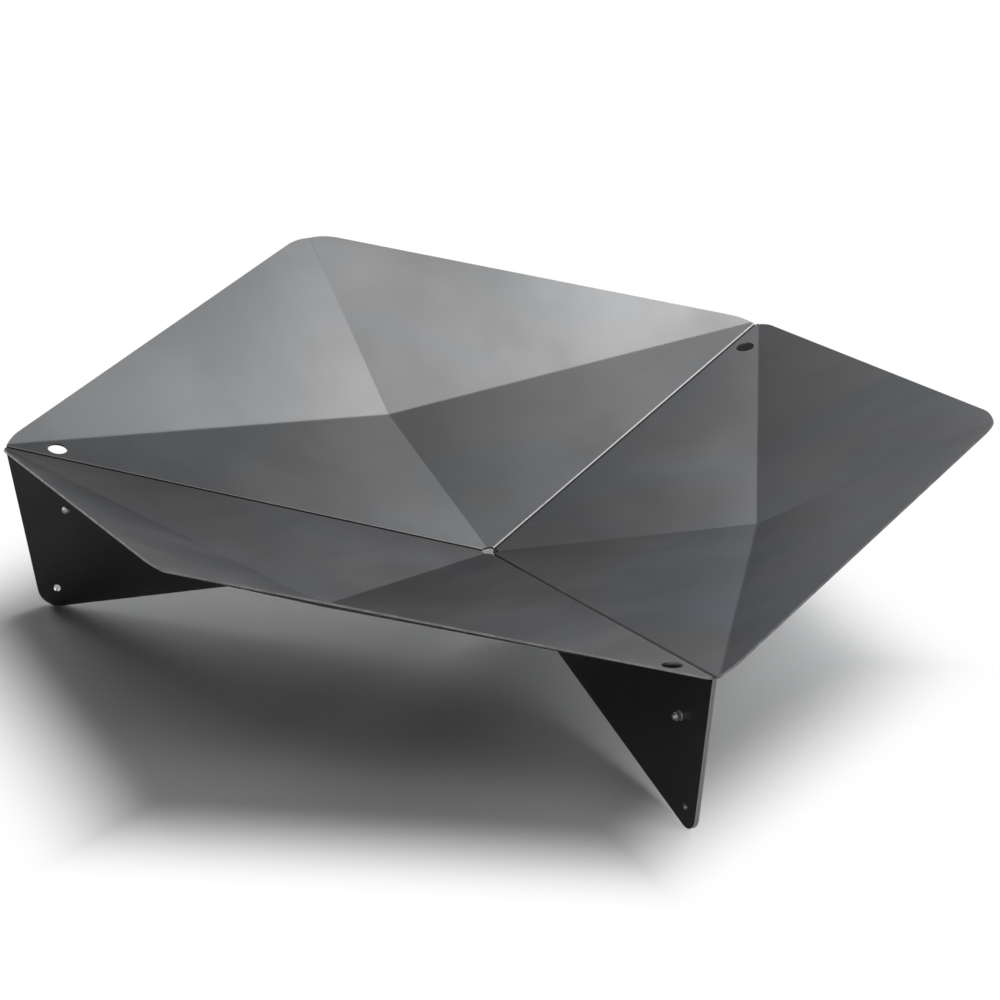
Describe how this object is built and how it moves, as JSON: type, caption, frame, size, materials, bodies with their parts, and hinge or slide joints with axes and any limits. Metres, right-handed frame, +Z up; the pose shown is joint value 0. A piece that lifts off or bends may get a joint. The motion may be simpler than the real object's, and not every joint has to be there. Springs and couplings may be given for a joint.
{
  "type": "fire bowl",
  "caption": "Low hexagonal fire bowl of creased sheet-steel panels. The panels fold down along their seams into leg plates that are bolted face to face.",
  "frame": {"origin": "on the ground, below the point where the bowl's seams meet", "axes": "+Z up, -Y out through the front leg, +Y out through the back sheet's raised corner"},
  "size_m": [1.0448, 1.1844, 0.3044],
  "materials": {
    "sheet_steel": "dark satin mill finish, uncoated",
    "screw_steel": "bright zinc plated",
    "washer_steel": "bright zinc plated",
    "nut_steel": "bright zinc plated"
  },
  "bodies": {
    "root": {"sheet_right": "sheet_steel", "sheet_back": "sheet_steel", "sheet_left": "sheet_steel", "leg_screw_front": "screw_steel", "leg_screw_right": "screw_steel", "leg_screw_left": "screw_steel", "leg_washer_front": "washer_steel", "leg_washer_right": "washer_steel", "leg_washer_left": "washer_steel", "leg_nut_front": "nut_steel", "leg_nut_right": "nut_steel", "leg_nut_left": "nut_steel"}
  },
  "joints": []
}
